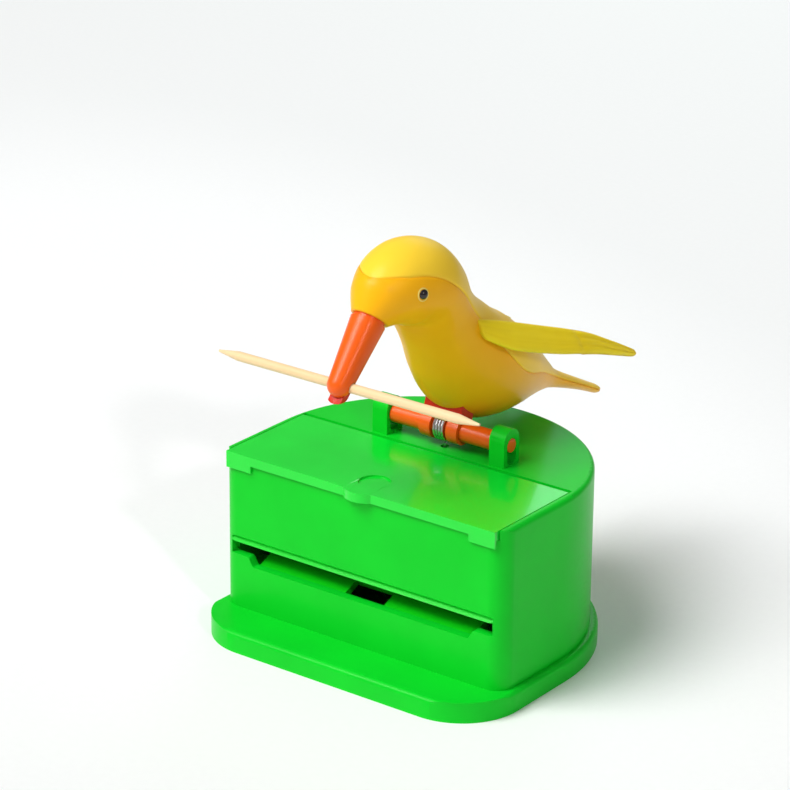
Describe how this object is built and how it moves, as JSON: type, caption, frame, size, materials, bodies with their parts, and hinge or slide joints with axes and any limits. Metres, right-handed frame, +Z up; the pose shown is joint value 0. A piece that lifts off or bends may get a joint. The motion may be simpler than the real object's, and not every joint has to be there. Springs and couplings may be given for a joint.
{
  "type": "toothpick dispenser",
  "caption": "Box that holds toothpicks, with a sprung bird on top that pecks down to the front slot and lifts out a toothpick in its beak.",
  "frame": {"origin": "middle of the base's footprint, on the surface that the box stands on", "axes": "+Z up, -Y towards the front wall with the dispensing slot, +X to the right as seen from the front"},
  "size_m": [0.0754, 0.0969, 0.0888],
  "materials": {
    "housing": "glossy moulded",
    "base_plate": "satin moulded",
    "base_screws": "zinc plated",
    "hopper_chute": "satin moulded",
    "refill_lid": "high gloss",
    "perch_rod": "glossy moulded",
    "return_spring": "spring wire",
    "leg_bracket": "glossy moulded",
    "leg_screws": "zinc plated",
    "breast_shell": "semi-gloss moulded",
    "back_shell": "semi-gloss moulded",
    "left_wing": "semi-gloss moulded",
    "right_wing": "semi-gloss moulded",
    "left_eye": "glossy",
    "right_eye": "glossy",
    "upper_beak": "glossy moulded",
    "lower_beak": "glossy moulded",
    "jaw_pin": "bright",
    "jaw_spring": "spring wire",
    "toothpick": "plain birch"
  },
  "bodies": {
    "box": {"housing": "housing", "base_plate": "base_plate", "base_screws": "base_screws", "hopper_chute": "hopper_chute"},
    "lid": {"refill_lid": "refill_lid"},
    "axle": {"perch_rod": "perch_rod", "return_spring": "return_spring"},
    "bird": {"leg_bracket": "leg_bracket", "leg_screws": "leg_screws", "breast_shell": "breast_shell", "back_shell": "back_shell", "left_wing": "left_wing", "right_wing": "right_wing", "left_eye": "left_eye", "right_eye": "right_eye", "upper_beak": "upper_beak", "jaw_pin": "jaw_pin", "jaw_spring": "jaw_spring"},
    "jaw": {"lower_beak": "lower_beak"},
    "pick": {"toothpick": "toothpick"}
  },
  "joints": [
    {"name": "lid_hinge", "type": "hinge", "parent": "box", "child": "lid", "pos_m": [0, 0.0009, 0.0385], "axis": [-1, 0, 0], "range_deg": [0, 66]},
    {"name": "axle_press", "type": "slide", "parent": "box", "child": "axle", "axis": [0, 0, 1], "range_m": [-0.0005, 0], "stiffness_N_per_m": 600, "springref_m": 0.003},
    {"name": "peck", "type": "hinge", "parent": "axle", "child": "bird", "pos_m": [0, 0.0055, 0.0439], "axis": [-1, 0, 0], "range_deg": [-66, 0], "stiffness_Nm_per_rad": 0.004, "springref_deg": 80.21},
    {"name": "jaw_hinge", "type": "hinge", "parent": "bird", "child": "jaw", "pos_m": [0, -0.01887, 0.07571], "axis": [1, 0, 0], "range_deg": [0, 12], "stiffness_Nm_per_rad": 0.0003, "springref_deg": -85.94},
    {"name": "pick_draw", "type": "slide", "parent": "bird", "child": "pick", "axis": [1, 0, 0], "range_m": [0, 0.05]}
  ]
}
